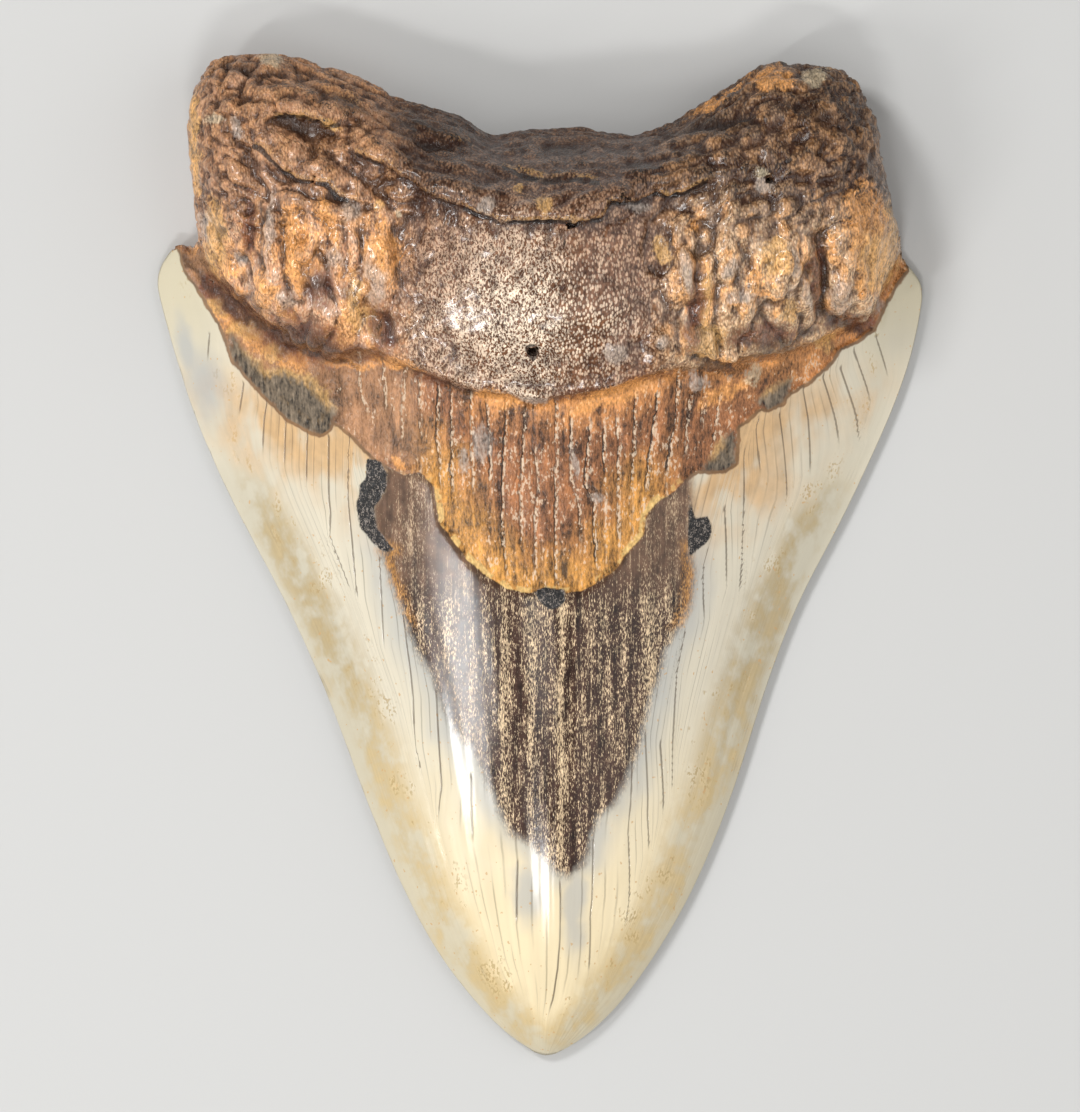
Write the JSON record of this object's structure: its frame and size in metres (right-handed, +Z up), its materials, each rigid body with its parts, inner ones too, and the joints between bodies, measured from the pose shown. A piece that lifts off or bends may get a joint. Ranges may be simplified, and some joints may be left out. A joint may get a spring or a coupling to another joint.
{
  "type": "fossil megalodon tooth",
  "caption": "Fossil shark tooth: triangular enamel crown with smooth cutting edges under a knobbly forked root, lying on its flat outer face.",
  "frame": {"origin": "middle of the tooth's outline, on the surface that it lies on", "axes": "+X across the tooth, +Y from the tip to the root, +Z up, out of the bulging inner (lingual) face"},
  "size_m": [0.1072, 0.1402, 0.0311],
  "materials": {
    "tooth": "fossil tooth: polished enamel crown, glossy orange-brown and dark brown dentine, rough dark brown root"
  },
  "bodies": {
    "root": {"tooth": "tooth"}
  },
  "joints": []
}
